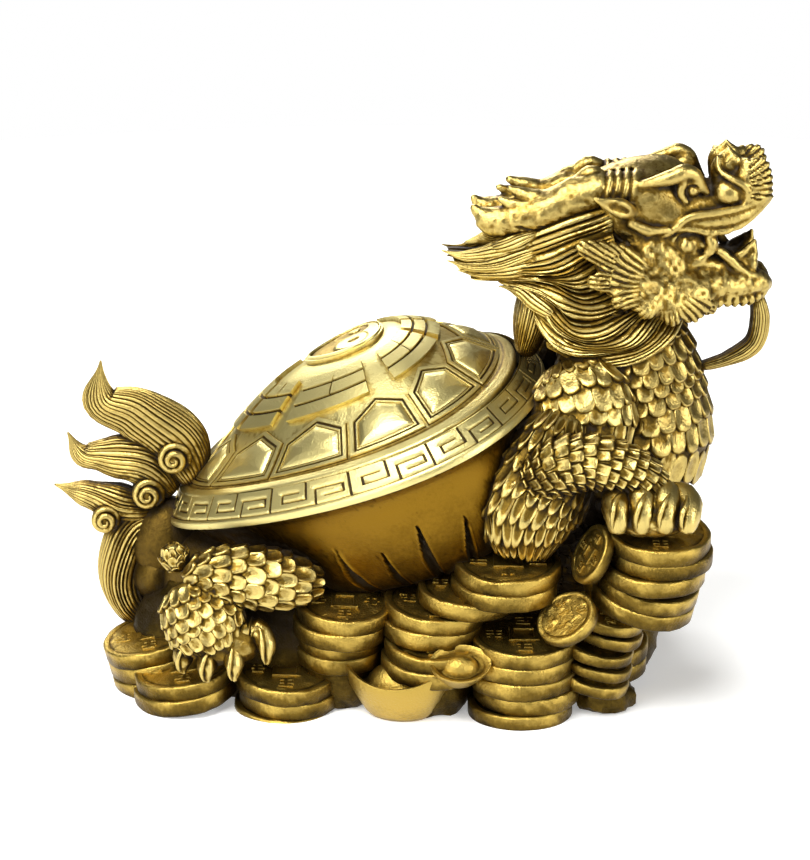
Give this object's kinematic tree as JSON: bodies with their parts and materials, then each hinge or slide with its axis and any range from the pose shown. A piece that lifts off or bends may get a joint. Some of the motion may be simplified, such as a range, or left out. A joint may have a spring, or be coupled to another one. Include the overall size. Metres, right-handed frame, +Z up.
{
  "type": "dragon turtle figure",
  "caption": "Cast brass dragon turtle with a domed trigram shell, a maned dragon head and a flame tail, standing on a heap of coins and ingots.",
  "frame": {"origin": "on the flat underside of the coin heap, below the middle of the figure's length and width", "axes": "+X towards the head, -Y towards the dragon's right side, which the picture shows, +Z up"},
  "size_m": [0.1992, 0.1058, 0.152],
  "materials": {
    "brass": "satin cast brass with dark patina in the recesses"
  },
  "bodies": {
    "root": {"dragon_turtle": "brass"}
  },
  "joints": []
}
